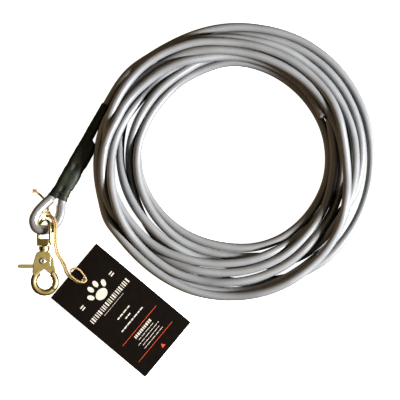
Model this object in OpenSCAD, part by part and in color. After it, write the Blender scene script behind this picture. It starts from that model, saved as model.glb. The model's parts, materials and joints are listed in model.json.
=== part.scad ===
// Training leash: a round coated line, wound in a coil, with a thimble eye and a scissor snap hook.
// +Y points from the hook to the upper end of the sleeve and +Z up from the table it lies on.

/* [Line] */
// Diameter of the coated line
line_d = 6; // [5:0.5:6.5]
// Radius of the eye, measured to the middle of the line
eye_r = 9.3; // [9:0.1:9.6]
// Outer radius of the wound coil
coil_outer_r = 97; // [94:1:97]
// Inner radius of the wound coil
coil_inner_r = 62; // [56:1:70]
// Height of the wound coil
coil_h = 20; // [14:1:22]

/* [Sleeve] */
// Length of the outer sleeve
sleeve_len = 75; // [70:1:80]
// Length of the tail that lies beside the line
tail_len = 45; // [42:1:48]
// Distance between the line and its tail, squeezed together
tail_gap = 5.3; // [5.2:0.1:5.8]
// Wall of one layer of heat-shrink
shrink_wall = 0.25; // [0.2:0.05:0.3]
// Direction of the sleeve, turned from +Y towards +X
sleeve_angle = 29.4; // [28:0.2:31]

/* [Hook] */
// Diameter of the bow's bar
bow_bar_d = 2.2; // [2:0.1:2.3]
// Distance of the bow's legs from the hook's axis
bow_half_w = 6.9; // [6.6:0.1:7]
// Roll of the bow round the hook's axis
bow_roll = 47; // [46:1:52]
// Outer radius of the hook's ring
ring_outer_r = 10; // [9.6:0.1:10]
// Inner radius of the hook's ring
ring_inner_r = 5.4; // [5.2:0.1:5.8]
// Radius of the pivot rivet
rivet_r = 1.5; // [1.3:0.1:1.6]

/* [Tag] */
// Width of the card
tag_w = 50; // [46:1:52]
// Length of the card
tag_l = 87; // [82:1:88]
// Thickness of the card
tag_t = 0.5; // [0.4:0.1:0.6]
// Diameter of the twine
twine_d = 1.2; // [1:0.1:1.2]

/* [Hidden] */
$fn = 48;
eps = 0.02;
line_r = line_d / 2;
squeezed_r = tail_gap / 2 - 0.02;
twine_r = twine_d / 2;

// hook: its axis runs along Y through this point
hook_x = -13.9;
ring_x = -13.4;
bar_r = bow_bar_d / 2;
hook_z = bow_half_w * sin(bow_roll) + bar_r;
bow_top_y = -14.7;
bow_base_y = -30.7;
bow_base_l = 4.6;
bow_base_w = 13.2;
bow_base_t = 3.4;
shank_r = 1.7;
shank_end_y = -36.9;
head_r = 2.3;
head_t = 1.0;
collar_r = 3.7;
collar_y = [-36, -33.5];
neck_r = 3.2;
body_top_y = -37.2;
cheek_t = 1.7;
slot_half = 1.35;
hub_half = 1.15;
rivet_at = [-14.9, -43.9];
rivet_play = 0.05;
rivet_head_r = 2.35;
rivet_head_h = 0.7;
rivet_dome_r = 4.5;
lobe_at = [-10.7, -43.7];
lobe_r = 3.6;
hub_r = 4.4;
slot_top_y = -38.4;
recess_r = 3.2;
spring_r = 2.6;
spring_wire_r = 0.27;
spring_turns = 2;
lever_y = -47.6;
lever_h = 2.4;
jaw_r = (ring_outer_r - ring_inner_r) / 2;
jaw_mid_r = (ring_outer_r + ring_inner_r) / 2;
half_gap = 0.12;
// angles round the ring: each jaw, and where the two halves pass each other
fixed_arc = [122, 318];
fixed_half_from = 278;
moving_arc = [282, 410];
moving_half_to = 322;

// eye: a round bottom round this centre, and two straight legs up to the sleeve
eye_c = [-13.1, -13.1];
sleeve_end_r = line_r + 2 * shrink_wall;
sleeve_dir = [sin(sleeve_angle), cos(sleeve_angle)];
sleeve_side = [cos(sleeve_angle), -sin(sleeve_angle)];
sleeve_foot = [-5.25, 0.07];
sleeve_z = line_r + 0.75;
line_foot = sleeve_foot - sleeve_side * tail_gap / 2;
tail_foot = sleeve_foot + sleeve_side * tail_gap / 2;
line_end = line_foot + sleeve_dir * sleeve_len;
eye_drop = eye_c[1] - eye_r;
eye_pitch = asin((hook_z - sleeve_z) / (sleeve_foot[1] - eye_drop));
thimble_r = line_r + 0.12;
thimble_shift = 0.75;
thimble_spread = 58;
thimble_short = 2.5;
free_r = line_r - eps;
arc_steps = 16;

// crimps and shrink layers, as distances along the sleeve
ferrule_at = [12, 30];
ferrule_len = 9;
ferrule_in_r = squeezed_r;
ferrule_out_r = line_r + 0.2;
inner_from = 0.6;
outer_from = 4;

// the ends of the object lie at equal distances from the origin
lever_tip_x = -(line_end[0] + sleeve_end_r * cos(sleeve_angle));
ring_y = -(line_end[1] + sleeve_end_r * sin(sleeve_angle)) + ring_outer_r;

// coil
coil_c = [122.4, 27.7];
coil_chamfer = 4;

// card: centre, direction of its long side, and hole
tag_c = [39.9, -78.4];
tag_turn = -39.8;
tag_z = 1.35;
tag_hole_in = 10;
tag_hole_r = 2.2;

// the twine's knot: a ring, tilted
knot_at = [-11.7, -10.6, 2.8];
knot_tilt = [20, 30, 0];
knot_mid_r = 0.95;
knot_r = 0.85;

// routes, chosen by hand
lead_route = [
    [line_end[0], line_end[1], sleeve_z],
    [line_end[0] + 7 * sleeve_dir[0], line_end[1] + 7 * sleeve_dir[1], 3.6],
    [37, 80.5, 3.3], [42, 87, 3.1], [48, 93, 3.05], [56, 99, 3.05]
];
tail_long_route = [
    [-22.3, 7.2, 0.9], [-20.3, 5.4, 0.7], [-17, 2.4, 0.66], [-14.4, -0.6, 0.66],
    [-12.7, -4.2, 0.66], [-12.1, -7.2, 0.9], [-11.9, -8.8, 1.6]
];
tail_short_route = [[-12.2, -10.8, 4.2], [-13.3, -10.4, 5.2], [-14.6, -9.8, 6]];
strand_left_route = [
    [-11.3, -11.8, 3.6], [-10.3, -12.8, 5.4], [-8.7, -14, 7.7], [-7.3, -16, 9.2], [-6.6, -18.6, 9.8],
    [-6.5, -21, 9.8], [-6.7, -26, 7.6], [-6.8, -32, 4], [-5.6, -38, 1.9], [-3.4, -42.5, 1.3], [-0.9, -46.5, 1.2],
    [0.2, -49.6, 1.2], [1.4, -52.4, 1.8]
];
strand_shift = [1.25, 0.55, 0];
strand_right_route = [for (p = strand_left_route) p + strand_shift];
// the ring leaves the strands, goes over the card's edge, down the hole, back under and round the edge;
// its places are along the card, across it and up, from the middle of the hole
ring_route = [
    [-11.8, -2.6, 1.6], [-9.6, -2.9, 2.9], [-6, -3, 2.9], [-2.6, -1.6, 3.1], [-0.6, 0.2, 2.4],
    [-0.4, 0.4, 1.4], [-2.2, 0.7, 0.7], [-6, 1.4, 0.66], [-10, 2.2, 0.7], [-11.5, 2.7, 1.5],
    [-9.8, 3.1, 2.8], [-6, 3.2, 2.9], [-2.4, 2.6, 3], [0.2, 1.8, 2.9]
];

// ---- helpers ----

// a point on the smooth curve through b and c, at t between them
function smooth_point(a, b, c, d, t) =
    0.5 * (2 * b + (c - a) * t + (2 * a - 5 * b + 4 * c - d) * t * t + (3 * b - a - 3 * c + d) * t * t * t);
function smooth_line(p, n) = concat(
    [for (i = [0 : len(p) - 2]) for (k = [0 : n - 1])
        smooth_point(p[max(i - 1, 0)], p[i], p[i + 1], p[min(i + 2, len(p) - 1)], k / n)],
    [p[len(p) - 1]]);
function unit(v) = v / norm(v);
function place(p) = [p[0], p[1], p[2]];
function with_radius(route, r) = [for (p = route) [p[0], p[1], p[2], r]];
function tube_points(line, sides, ref) = [
    for (i = [0 : len(line) - 1])
        let (
            t = unit(place(line[min(i + 1, len(line) - 1)]) - place(line[max(i - 1, 0)])),
            a = unit(cross(ref, t)),
            b = cross(t, a)
        )
        for (j = [0 : sides - 1])
            place(line[i]) + line[i][3] * (cos(360 * j / sides) * a + sin(360 * j / sides) * b)
];
function tube_faces(rings, sides) = concat(
    [[for (j = [0 : sides - 1]) j]],
    [for (i = [0 : rings - 2]) for (j = [0 : sides - 1])
        [i * sides + j, (i + 1) * sides + j, (i + 1) * sides + (j + 1) % sides, i * sides + (j + 1) % sides]],
    [[for (j = [sides - 1 : -1 : 0]) (rings - 1) * sides + j]]);

// a tube swept along a line of places, each with its radius; ref is never along the line
module swept(line, sides, ref = [0, 0, 1]) {
    polyhedron(tube_points(line, sides, ref), tube_faces(len(line), sides));
}

// a tube of one radius along a smooth line through the route
module tube(route, r, sides, steps, ref = [0, 0, 1]) {
    swept(smooth_line(with_radius(route, r), steps), sides, ref);
}

// the point where a straight leg from p touches the eye's circle; side is 1 for left and -1 for right
function touch(p, side) =
    let (
        d = p - eye_c,
        a = atan2(d[1], d[0]) + side * acos(eye_r / norm(d))
    )
    eye_c + eye_r * [cos(a), sin(a)];
function angle_at(p) = atan2(p[1] - eye_c[1], p[0] - eye_c[0]);

left_touch = touch(line_foot, 1);
right_touch = touch(tail_foot, -1);
arc_from = angle_at(left_touch);
arc_to = angle_at(right_touch) + 360;

// the flat eye is tilted: its round bottom is lifted to the hook, its legs sink to the sleeve
module eye_place() {
    translate([0, eye_drop, hook_z])
        rotate([-eye_pitch, 0, 0])
            translate([0, -eye_drop, 0])
                children();
}
function in_eye(p, r) =
    let (y = p[1] - eye_drop)
    [p[0], eye_drop + y * cos(eye_pitch), hook_z - y * sin(eye_pitch), r];
function along_sleeve(side, at, r) =
    let (p = sleeve_foot + sleeve_side * side * tail_gap / 2 + sleeve_dir * at)
    [p[0], p[1], sleeve_z, r];
function between(a, b, n) = [for (k = [1 : n]) a + (b - a) * k / (n + 1)];

// the line of the eye, from the upper end of the sleeve, round the eye and back to the end of the tail
eye_line = concat(
    [for (at = [sleeve_len, tail_len + 6]) along_sleeve(-1, at, free_r)],
    [for (at = [tail_len + 1, 1]) along_sleeve(-1, at, squeezed_r)],
    [for (p = between(line_foot, left_touch, 2)) in_eye(p, free_r)],
    [for (k = [0 : arc_steps])
        let (a = arc_from + (arc_to - arc_from) * k / arc_steps)
        in_eye(eye_c + eye_r * [cos(a), sin(a)], free_r)],
    [for (p = between(right_touch, tail_foot, 2)) in_eye(p, free_r)],
    [for (at = [1, tail_len - 4]) along_sleeve(1, at, squeezed_r)],
    [along_sleeve(1, tail_len, squeezed_r)]
);

// local X to the side, Y up and Z along the sleeve, from its lower end
module sleeve_place() {
    translate([sleeve_foot[0], sleeve_foot[1], sleeve_z])
        rotate([0, 0, -sleeve_angle])
            rotate([-90, 0, 0])
                mirror([0, 1, 0])
                    children();
}

// the outline round the line and its tail
module pair_outline(r) {
    for (side = [-1, 1])
        translate([side * tail_gap / 2, 0])
            circle(r);
    square([tail_gap, 2 * r], center = true);
}

// a band of that outline, from one place along the sleeve to another
module pair_band(r, from, to) {
    translate([0, 0, from])
        linear_extrude(to - from)
            pair_outline(r);
}

// everything that the shrink layers close over, with a wall of w added
module wrapped(w, from, to) {
    pair_band(line_r + w, from, min(to, tail_len));
    for (at = ferrule_at)
        pair_band(ferrule_out_r + w, at - w, at + ferrule_len + w);
}

// ---- line ----

module leash_coil() {
    c = coil_chamfer;
    color([0.6, 0.6, 0.63])
        translate([coil_c[0], coil_c[1], 0])
            rotate_extrude($fn = 120)
                polygon([
                    [coil_inner_r + c, 0], [coil_outer_r - c, 0],
                    [coil_outer_r, c], [coil_outer_r, coil_h - 2 * c],
                    [coil_outer_r - 2 * c, coil_h], [coil_inner_r + 2 * c, coil_h],
                    [coil_inner_r, coil_h - 2 * c], [coil_inner_r, c]
                ]);
}

module leash_lead() {
    color([0.6, 0.6, 0.63])
        tube(lead_route, line_r, 12, 3);
}

module eye_cord() {
    color([0.72, 0.72, 0.76])
        swept(eye_line, 16);
}

// the trough's section, on the inner side of the line, whose middle is at the origin; it thins to its edges
module thimble_section() {
    difference() {
        intersection() {
            translate([-thimble_shift, 0])
                circle(thimble_r);
            polygon([[0, 0], [-9, -9 * tan(thimble_spread)], [-9, 9 * tan(thimble_spread)]]);
        }
        circle(line_r + eps);
    }
}

module thimble_leg(from, to, side) {
    d = to - from;
    translate([from[0], from[1], 0])
        rotate([90, 0, atan2(d[1], d[0]) + 90])
            linear_extrude(norm(d))
                mirror([side < 0 ? 1 : 0, 0])
                    thimble_section();
}

// the point that lies a given distance short of the end of a straight leg
function short_of(from, to, d) = to - unit(to - from) * d;
left_thimble_end = short_of(left_touch, line_foot, thimble_short);
right_thimble_end = short_of(right_touch, tail_foot, thimble_short);

module thimble() {
    color([0.85, 0.82, 0.74])
        eye_place() {
            translate([eye_c[0], eye_c[1], 0])
                rotate([0, 0, arc_from])
                    rotate_extrude(angle = arc_to - arc_from)
                        translate([eye_r, 0])
                            thimble_section();
            thimble_leg(left_touch, left_thimble_end, 1);
            thimble_leg(right_touch, right_thimble_end, -1);
        }
}

// ---- sleeve ----

module ferrule(at) {
    color([0.75, 0.75, 0.78])
        sleeve_place()
            difference() {
                pair_band(ferrule_out_r, at, at + ferrule_len);
                pair_band(ferrule_in_r, at - 1, at + ferrule_len + 1);
            }
}

module ferrule_lower() { ferrule(ferrule_at[0]); }

module ferrule_upper() { ferrule(ferrule_at[1]); }

module inner_sleeve() {
    color([0.1, 0.11, 0.1])
        sleeve_place()
            difference() {
                wrapped(shrink_wall, inner_from, tail_len);
                wrapped(0, inner_from - 1, tail_len + 1);
            }
}

module outer_sleeve() {
    color([0.14, 0.15, 0.13])
        sleeve_place()
            difference() {
                union() {
                    wrapped(2 * shrink_wall, outer_from, tail_len);
                    translate([-tail_gap / 2, 0, tail_len - eps])
                        cylinder(r = sleeve_end_r, h = sleeve_len - tail_len + eps);
                    translate([tail_gap / 2, 0, tail_len])
                        sphere(sleeve_end_r);
                }
                wrapped(shrink_wall, outer_from - 1, tail_len);
                translate([-tail_gap / 2, 0, tail_len - 1])
                    cylinder(r = line_r, h = sleeve_len);
            }
}

// ---- hook ----

module hook_axis() { translate([hook_x, 0, hook_z]) children(); }

// a round bar along Y
module bar_y(r, from, to) {
    translate([0, from, 0])
        rotate([-90, 0, 0])
            cylinder(r = r, h = to - from);
}

module swivel_bow() {
    arch_y = bow_top_y - bow_half_w;
    color([0.8, 0.79, 0.74])
        hook_axis() {
            rotate([0, -bow_roll, 0]) {
                translate([0, arch_y, 0])
                    rotate_extrude(angle = 180)
                        translate([bow_half_w, 0])
                            circle(bar_r);
                for (side = [-1, 1])
                    translate([side * bow_half_w, 0, 0]) {
                        bar_y(bar_r, bow_base_y, arch_y);
                        translate([0, bow_base_y, 0])
                            sphere(bar_r);
                    }
                intersection() {
                    translate([-bow_base_w / 2, bow_base_y - bow_base_l / 2, -bow_base_t / 2])
                        cube([bow_base_w, bow_base_l, bow_base_t]);
                    bar_y(bow_base_w / 2, bow_base_y - bow_base_l / 2, bow_base_y + bow_base_l / 2);
                }
            }
            bar_y(shank_r, shank_end_y, bow_base_y);
            bar_y(head_r, shank_end_y - head_t, shank_end_y);
        }
}

// outline of the cheeks
module cheek_outline() {
    polygon([
        [-17, body_top_y], [-11.5, body_top_y], [-9.8, -38.5], [-9.1, -40.3], [-9.1, -46.9], [-12.4, -48.7],
        [-16, -50.8], [-18.2, -52.4], [-20.6, -54.4], [-21.9, -52.6], [-21.5, -49], [-21.2, -45.6],
        [-20.4, -42.4], [-19.7, -39.9], [-18.9, -38.3]
    ]);
}

// the part of the ring between two angles
module ring_arc(from, to) {
    translate([ring_x, ring_y, hook_z])
        rotate([0, 0, from])
            rotate_extrude(angle = to - from)
                translate([jaw_mid_r, 0])
                    circle(jaw_r);
}

// cuts the ring to half its thickness between two angles; side is 1 to cut the front, -1 the back
module half_cut(from, to, side) {
    translate([ring_x, ring_y, hook_z])
        rotate([0, 0, from])
            rotate_extrude(angle = to - from)
                translate([ring_inner_r - 1, side > 0 ? -half_gap : half_gap - 5])
                    square([ring_outer_r - ring_inner_r + 2, 5]);
}

module snap_body() {
    color([0.78, 0.74, 0.62])
        difference() {
            union() {
                hook_axis() {
                    bar_y(collar_r, collar_y[0], collar_y[1]);
                    bar_y(neck_r, body_top_y - eps, collar_y[0] + eps);
                }
                translate([0, 0, hook_z - slot_half - cheek_t])
                    linear_extrude(2 * (slot_half + cheek_t))
                        cheek_outline();
                ring_arc(fixed_arc[0], fixed_arc[1]);
            }
            half_cut(fixed_half_from, fixed_arc[1] + 4, -1);
            // slot for the jaw's hub and lever
            translate([-30, -52.5, hook_z - slot_half])
                cube([30, 52.5 + slot_top_y, 2 * slot_half]);
            // bore for the shank and room for its head
            hook_axis() {
                bar_y(shank_r + rivet_play, body_top_y - 10, collar_y[1] + 1);
                bar_y(head_r + 0.1, slot_top_y - 0.2, shank_end_y + 0.05);
            }
            translate([rivet_at[0], rivet_at[1], 0])
                cylinder(r = rivet_r, h = 20);
        }
}

module trigger_jaw() {
    neck = [
        [-7.1, -43.6], [-6.6, -47.2], [-5.3, -52], [-7.7, -53.8],
        [-10.4, -52.6], [-14.6, -48.6], [-15.7, -45]
    ];
    color([0.72, 0.68, 0.55])
        difference() {
            union() {
                translate([0, 0, hook_z - hub_half])
                    linear_extrude(2 * hub_half) {
                        translate(rivet_at)
                            circle(hub_r);
                        translate(lobe_at)
                            circle(lobe_r);
                        polygon(neck);
                        translate([lever_tip_x + 1.2, lever_y - lever_h / 2])
                            square([rivet_at[0] - lever_tip_x - 3, lever_h]);
                        translate([lever_tip_x + 1.2, lever_y])
                            circle(lever_h / 2);
                    }
                ring_arc(moving_arc[0], moving_arc[1]);
            }
            half_cut(moving_arc[0] - 4, moving_half_to, 1);
            translate([rivet_at[0], rivet_at[1], 0]) {
                cylinder(r = rivet_r + rivet_play, h = 20);
                translate([0, 0, hook_z - hub_half - 1])
                    cylinder(r = recess_r, h = 1 + hub_half);
            }
        }
}

module pivot_rivet() {
    half = slot_half + cheek_t;
    color([0.82, 0.82, 0.8])
        translate([rivet_at[0], rivet_at[1], hook_z]) {
            translate([0, 0, -half])
                cylinder(r = rivet_r, h = 2 * half);
            for (flip = [0, 1])
                mirror([0, 0, flip])
                    translate([0, 0, half])
                        intersection() {
                            cylinder(r = rivet_head_r, h = rivet_head_h);
                            translate([0, 0, rivet_head_h - rivet_dome_r])
                                sphere(rivet_dome_r);
                        }
        }
}

module return_spring() {
    color([0.6, 0.6, 0.6])
        translate([rivet_at[0], rivet_at[1], hook_z - hub_half + spring_wire_r + 0.02])
            for (k = [0 : spring_turns - 1])
                translate([0, 0, k * 2 * spring_wire_r])
                    rotate_extrude()
                        translate([spring_r - 0.25, 0])
                            circle(spring_wire_r + eps);
}

// ---- tag ----

// local X along the card, Y across it, from the middle of the hole, on the table
module tag_place() {
    hole = tag_c - (tag_l / 2 - tag_hole_in) * [cos(tag_turn), sin(tag_turn)];
    translate([hole[0], hole[1], 0])
        rotate([0, 0, tag_turn])
            children();
}

module hang_tag() {
    color([0.14, 0.11, 0.08])
        tag_place()
            translate([0, 0, tag_z])
                linear_extrude(tag_t)
                    difference() {
                        translate([-tag_hole_in, -tag_w / 2])
                            square([tag_l, tag_w]);
                        circle(tag_hole_r);
                    }
}

module twine_tail_long() { color([0.8, 0.66, 0.4]) tube(tail_long_route, twine_r, 8, 2); }

module twine_tail_short() { color([0.8, 0.66, 0.4]) tube(tail_short_route, twine_r, 8, 2, [1, 0, 0]); }

module twine_knot() {
    color([0.78, 0.63, 0.38])
        translate(knot_at)
            rotate(knot_tilt)
                rotate_extrude()
                    translate([knot_mid_r, 0])
                        circle(knot_r);
}

module twine_strand_left() { color([0.8, 0.66, 0.4]) tube(strand_left_route, twine_r, 8, 2, [1, 0, 0]); }

module twine_strand_right() { color([0.8, 0.66, 0.4]) tube(strand_right_route, twine_r, 8, 2, [1, 0, 0]); }

module twine_ring() { color([0.8, 0.66, 0.4]) tag_place() tube(ring_route, twine_r, 8, 3, [0, 1, 0]); }

leash_coil();
leash_lead();
eye_cord();
thimble();
ferrule_lower();
ferrule_upper();
inner_sleeve();
outer_sleeve();
swivel_bow();
snap_body();
trigger_jaw();
pivot_rivet();
return_spring();
hang_tag();
twine_tail_long();
twine_tail_short();
twine_knot();
twine_strand_left();
twine_strand_right();
twine_ring();
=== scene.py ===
"""Training leash: a coiled round line with an eye, a shrink sleeve, a scissor snap hook and a swing tag.

Lengths in this script are millimetres in the object's frame, and to_m() turns them into metres.
"""
import json
import math
import random

import bmesh
import bpy
import numpy as np
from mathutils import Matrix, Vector, noise


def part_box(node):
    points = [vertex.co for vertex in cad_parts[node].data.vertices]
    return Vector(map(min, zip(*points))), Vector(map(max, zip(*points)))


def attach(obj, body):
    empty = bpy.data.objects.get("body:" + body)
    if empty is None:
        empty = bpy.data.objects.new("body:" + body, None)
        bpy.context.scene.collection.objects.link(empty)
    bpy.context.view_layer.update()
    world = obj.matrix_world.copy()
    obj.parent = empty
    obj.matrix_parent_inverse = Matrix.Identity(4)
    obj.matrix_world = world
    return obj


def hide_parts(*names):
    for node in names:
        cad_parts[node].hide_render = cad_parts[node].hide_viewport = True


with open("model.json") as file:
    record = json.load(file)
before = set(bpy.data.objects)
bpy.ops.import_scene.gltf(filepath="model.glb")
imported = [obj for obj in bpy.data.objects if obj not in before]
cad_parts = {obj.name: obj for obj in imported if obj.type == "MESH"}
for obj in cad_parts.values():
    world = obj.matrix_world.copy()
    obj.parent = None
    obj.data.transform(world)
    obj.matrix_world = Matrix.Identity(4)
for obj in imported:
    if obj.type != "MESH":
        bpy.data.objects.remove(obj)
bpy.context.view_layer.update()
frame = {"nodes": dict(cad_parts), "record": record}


MM = 0.001


def to_m(p):
    return tuple(float(c) * MM for c in p)


def node_box(node):
    """A CAD node's lowest and highest corners, in millimetres."""
    low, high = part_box(node)
    return np.array(low) / MM, np.array(high) / MM


JOINTS = {j["name"]: j for j in frame["record"]["behaviour"]["joints"]}


def joint_at(name):
    return np.array(JOINTS[name]["pos_m"]) / MM


# ---- driving sizes ----
LINE_D = 6.0
LINE_R = LINE_D / 2
HOOK_Z = float(joint_at("hook_swivel")[2])
EYE_BOTTOM_Y = -22.4
SLEEVE_Z = LINE_R + 0.75
SLEEVE_FOOT = np.array([-5.25, 0.07])
SLEEVE_ANGLE = math.radians(29.4)
SLEEVE_DIR = np.array([math.sin(SLEEVE_ANGLE), math.cos(SLEEVE_ANGLE)])
SLEEVE_SIDE = np.array([math.cos(SLEEVE_ANGLE), -math.sin(SLEEVE_ANGLE)])
SLEEVE_LEN = 75.0
TAIL_LEN = 45.0
LINE_OFF = 2.65
COIL_CENTRE = np.array([120.3, 27.7])


def sleeve_point(side, along, up=0.0):
    """A point in the sleeve's frame: to the side, along it from its foot, and above its middle."""
    x, y = SLEEVE_FOOT + SLEEVE_SIDE * side + SLEEVE_DIR * along
    return (x, y, SLEEVE_Z + up)


# ---- camera ----
VIEW_CENTRE = (95.9, -0.7, 4.0)
VIEW_DISTANCE = 1000.0
VIEW_TILT = math.radians(4.0)
VIEW_LENS = 127.1


def make_camera():
    data = bpy.data.cameras.new("camera")
    data.sensor_width = 36.0
    data.lens = VIEW_LENS
    data.clip_start = 0.01
    data.clip_end = 20.0
    camera = bpy.data.objects.new("camera", data)
    bpy.context.scene.collection.objects.link(camera)
    away = np.array([0.0, -math.sin(VIEW_TILT), math.cos(VIEW_TILT)]) * VIEW_DISTANCE
    camera.location = to_m(np.array(VIEW_CENTRE) + away)
    camera.rotation_euler = (VIEW_TILT, 0.0, 0.0)
    bpy.context.scene.camera = camera


make_camera()

# ---- lines and meshes ----


def smooth_path(points, step):
    """A Catmull-Rom curve through the points, as points about step apart."""
    p = np.array(points, dtype=float)
    p = np.vstack([2 * p[0] - p[1], p, 2 * p[-1] - p[-2]])
    out = []
    for i in range(1, len(p) - 2):
        a, b, c, d = p[i - 1 : i + 3]
        count = max(2, int(np.linalg.norm(c - b) / step * 4))
        for t in np.arange(count) / count:
            out.append(
                0.5
                * (2 * b + (c - a) * t + (2 * a - 5 * b + 4 * c - d) * t**2 + (3 * b - a - 3 * c + d) * t**3)
            )
    out.append(p[-2])
    return even_path(np.array(out), step)


def even_path(p, step):
    """The same line with its points evenly spaced."""
    at = np.r_[0, np.cumsum(np.linalg.norm(np.diff(p, axis=0), axis=1))]
    count = max(2, int(round(at[-1] / step)))
    s = np.linspace(0, at[-1], count + 1)
    return np.stack([np.interp(s, at, p[:, k]) for k in range(3)], 1)


def path_length(p):
    return float(np.linalg.norm(np.diff(p, axis=0), axis=1).sum())


def path_frames(p):
    """Tangent, side and up at each point, with no twist between them."""
    t = np.gradient(p, axis=0)
    t /= np.linalg.norm(t, axis=1)[:, None]
    start = np.array([0.0, 0.0, 1.0]) if abs(t[0][2]) < 0.9 else np.array([1.0, 0.0, 0.0])
    up = start - t[0] * np.dot(start, t[0])
    ups = [up / np.linalg.norm(up)]
    for i in range(1, len(p)):
        up = ups[-1] - t[i] * np.dot(ups[-1], t[i])
        ups.append(up / np.linalg.norm(up))
    ups = np.array(ups)
    return t, np.cross(t, ups), ups


def add_mesh(name, vertices, faces, uv=None, smooth=True):
    """A new object from vertices in millimetres. uv is one pair for each face corner."""
    mesh = bpy.data.meshes.new(name)
    mesh.from_pydata([to_m(v) for v in vertices], [], faces)
    if uv is not None:
        layer = mesh.uv_layers.new(name="UVMap")
        layer.data.foreach_set("uv", np.array(uv, dtype=float).ravel())
    mesh.validate()
    for polygon in mesh.polygons:
        polygon.use_smooth = smooth
    obj = bpy.data.objects.new(name, mesh)
    bpy.context.scene.collection.objects.link(obj)
    return obj


def tube_data(p, radius, sides):
    """Rings round a line, joined by quads and closed by caps; radius is one number or one per point."""
    radius = np.broadcast_to(np.asarray(radius, dtype=float), (len(p),))
    _, side, up = path_frames(p)
    angles = np.linspace(0, 2 * math.pi, sides, endpoint=False)
    ring = np.cos(angles)[None, :, None] * side[:, None, :] + np.sin(angles)[None, :, None] * up[:, None, :]
    vertices = (p[:, None, :] + radius[:, None, None] * ring).reshape(-1, 3)
    along = np.r_[0, np.cumsum(np.linalg.norm(np.diff(p, axis=0), axis=1))] / 10
    faces, uv = [], []
    for i in range(len(p) - 1):
        for j in range(sides):
            k = (j + 1) % sides
            faces.append((i * sides + j, i * sides + k, (i + 1) * sides + k, (i + 1) * sides + j))
            low, high = j / sides, (j + 1) / sides
            uv += [(along[i], low), (along[i], high), (along[i + 1], high), (along[i + 1], low)]
    for cap in (range(sides - 1, -1, -1), range((len(p) - 1) * sides, len(p) * sides)):
        cap = list(cap)
        faces.append(cap)
        end_along = along[0] if cap[0] < sides else along[-1]
        uv += [(end_along, 0.5 + 0.1 * math.cos(angles[c % sides])) for c in cap]
    return vertices, faces, uv


def add_tube(name, p, radius, sides):
    vertices, faces, uv = tube_data(p, radius, sides)
    return add_mesh(name, vertices, faces, uv)


def joined(parts):
    """Vertices and faces of several meshes as one."""
    vertices, faces = [], []
    for v, f in parts:
        start = len(vertices)
        vertices += [tuple(x) for x in v]
        faces += [tuple(start + i for i in face) for face in f]
    return vertices, faces


# ---- the coil ----
# Each row is one turn, clockwise from the upper left in equal steps: the distance from the coil's
# middle, and the layer in the pile. The pile is then let down until the line rests on itself.
TURN_FROM = 135.0
TURN_STEP = 45.0
# where the line comes in and where it ends: the angle, then the distance and the layer as in a turn
COIL_START = (155.0, 98.7, 0.1)
COIL_TURNS = [
    [(95, 0), (95.5, 0), (98.7, 0), (97.3, 0), (95, 0), (86.5, 0), (78, 0), (74, 0)],
    [(73, 1), (76.5, 0), (74, 0), (73.7, 0), (71, 0), (73, 1), (83.5, 1), (91, 0)],
    [(92, 2), (82.5, 2), (79.5, 2), (78, 2), (90.5, 2), (96.5, 1), (96.5, 1), (97, 1)],
    [(87, 1), (76, 2), (73.5, 2), (76.5, 1), (79.5, 1), (86.5, 1), (90.5, 2), (87, 2)],
    [(77.5, 1), (79.5, 1), (77, 1), (70.5, 1), (73.5, 1), (79.5, 1), (86, 0), (91, 0)],
    [(93, 1), (86.5, 1), (86.3, 0), (85.5, 1), (84, 0), (74, 0), (75.5, 1), (81, 1)],
    [(86, 0), (89.5, 0), (92.5, 0), (90.5, 0), (80, 0), (68, 0), (68.5, 1), (69, 1)],
    [(67.5, 0), (70.5, 0), (68, 0), (67.5, 0), (65.5, 0), (63, 0), (64, 0), (69, 0)],
    [(73, 0), (82.5, 0), (80, 0), (82, 0), (89, 1), (93, 1), (95, 0), (92.5, 1)],
    [(82, 1), (73.5, 1), (71, 1)],
]
COIL_END = (25.0, 70.5, 1)
LAYER_RISE = 6.4
LINE_STEP = 3.0
TOUCH_D = LINE_D + 0.15
# how the pile is let down: the drop of one step, at first and in the last quarter, and the pull
# back to the planned turns
SETTLE_STEPS = 420
DROP, LAST_DROP = 0.06, 0.03
PULL_TO_PLAN = 0.12
NEAR = 11.0
NEAR_AGAIN_AFTER = 10
PUSH_GAIN = 1.2


def planned_coil():
    angle, distance, layer = ([v] for v in COIL_START)
    at = TURN_FROM
    for turn in COIL_TURNS:
        for d, rise in turn:
            angle.append(at)
            distance.append(d)
            layer.append(rise)
            at -= TURN_STEP
    angle.append(COIL_END[0] - 360.0 * (len(COIL_TURNS) - 1))
    distance.append(COIL_END[1])
    layer.append(COIL_END[2])
    angle, distance, layer = (np.array(v, dtype=float) for v in (angle, distance, layer))
    t = np.arange(angle[0], angle[-1], -0.25)
    r = smooth_values(angle, distance, t)
    z = LINE_R + LAYER_RISE * smooth_values(angle, layer, t)
    turned = np.radians(t)
    p = np.stack([COIL_CENTRE[0] + r * np.cos(turned), COIL_CENTRE[1] + r * np.sin(turned), z], 1)
    return even_path(p, LINE_STEP)


def smooth_values(at, values, t):
    """Values between the given ones, on a smooth curve. at runs downwards."""
    i = np.clip(np.searchsorted(-at, -t, side="right") - 1, 0, len(at) - 2)
    h = at[i + 1] - at[i]
    slope = np.gradient(values, at)
    s = (t - at[i]) / h
    return (
        (2 * s**3 - 3 * s**2 + 1) * values[i]
        + (s**3 - 2 * s**2 + s) * h * slope[i]
        + (3 * s**2 - 2 * s**3) * values[i + 1]
        + (s**3 - s**2) * h * slope[i + 1]
    )


def near_pairs(p, within):
    """Pairs of points closer than within, leaving out neighbours along the line."""
    skip = 8
    block = 400
    found = []
    for start in range(0, len(p), block):
        d = np.linalg.norm(p[start : start + block, None, :] - p[None, :, :], axis=2)
        i, j = np.nonzero(d < within)
        i = i + start
        keep = j > i + skip
        found.append(np.stack([i[keep], j[keep]], 1))
    return np.concatenate(found).T


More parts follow.
